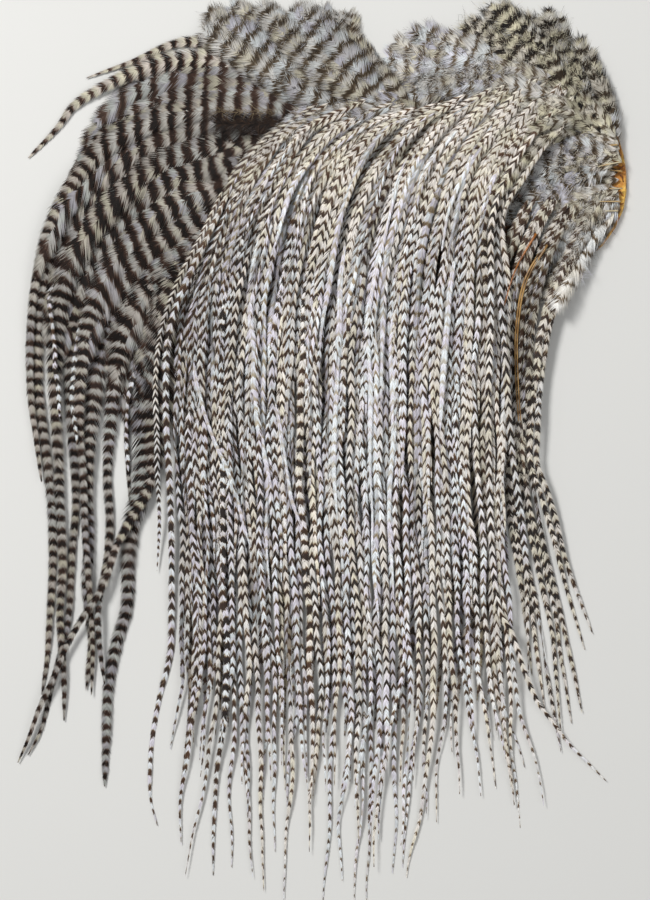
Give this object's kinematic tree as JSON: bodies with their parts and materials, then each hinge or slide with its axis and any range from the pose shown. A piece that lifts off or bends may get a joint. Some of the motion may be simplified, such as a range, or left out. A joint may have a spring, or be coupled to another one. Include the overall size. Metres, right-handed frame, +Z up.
{
  "type": "rooster cape",
  "caption": "Dried rooster skin with long narrow barred hackles, wide webby feathers fanned to one side and short soft tufts, lying flat.",
  "frame": {"origin": "centre of the whole object's box in X and Y, on the surface that it lies on", "axes": "-Y the way the long hackles point, +Y to the tufts at the root end, +X to the skin's bare rim as seen from above, +Z up"},
  "size_m": [0.2323, 0.3436, 0.0119],
  "materials": {
    "hide": "dry, slightly waxy",
    "hackle": "silky, barred",
    "under_hackle": "silky, barred, dull",
    "side_feather": "silky, broadly barred",
    "soft_feather": "soft, downy, barred",
    "brown_feather": "soft, plain",
    "quill": "satin horn"
  },
  "bodies": {
    "root": {"hide": "hide", "side_feather_01": "side_feather", "side_feather_02": "side_feather", "side_feather_03": "side_feather", "side_feather_04": "side_feather", "side_feather_05": "side_feather", "side_feather_06": "side_feather", "side_feather_07": "side_feather", "side_feather_08": "side_feather", "side_feather_09": "side_feather", "side_feather_10": "side_feather", "side_feather_11": "side_feather", "side_feather_12": "side_feather", "side_feather_13": "side_feather", "left_tuft_1": "soft_feather", "left_tuft_2": "soft_feather", "left_tuft_3": "soft_feather", "right_tuft_1": "soft_feather", "right_tuft_2": "soft_feather", "right_tuft_3": "soft_feather", "downy_patch_1": "soft_feather", "downy_patch_2": "soft_feather", "plain_brown_feather": "brown_feather", "bare_quill_tan": "quill", "bare_quill_orange": "quill", "right_lock_1": "hackle", "right_lock_2": "hackle", "right_lock_3": "hackle", "right_lock_4": "hackle", "under_lock_1": "under_hackle", "under_lock_2": "under_hackle", "under_lock_3": "under_hackle", "under_lock_4": "under_hackle", "under_lock_5": "under_hackle", "hackle_lock_01": "hackle", "hackle_lock_02": "hackle", "hackle_lock_03": "hackle", "hackle_lock_04": "hackle", "hackle_lock_05": "hackle", "hackle_lock_06": "hackle", "hackle_lock_07": "hackle", "hackle_lock_08": "hackle", "hackle_lock_09": "hackle", "hackle_lock_10": "hackle", "hackle_lock_11": "hackle", "hackle_lock_12": "hackle", "hackle_lock_13": "hackle", "hackle_lock_14": "hackle", "hackle_lock_15": "hackle", "hackle_lock_16": "hackle", "hackle_lock_17": "hackle", "hackle_lock_18": "hackle", "hackle_lock_19": "hackle", "hackle_lock_20": "hackle", "hackle_lock_21": "hackle", "hackle_lock_22": "hackle", "edge_hackle_1": "hackle", "edge_hackle_2": "hackle", "crossing_hackle": "hackle", "stray_hackle": "hackle"}
  },
  "joints": []
}
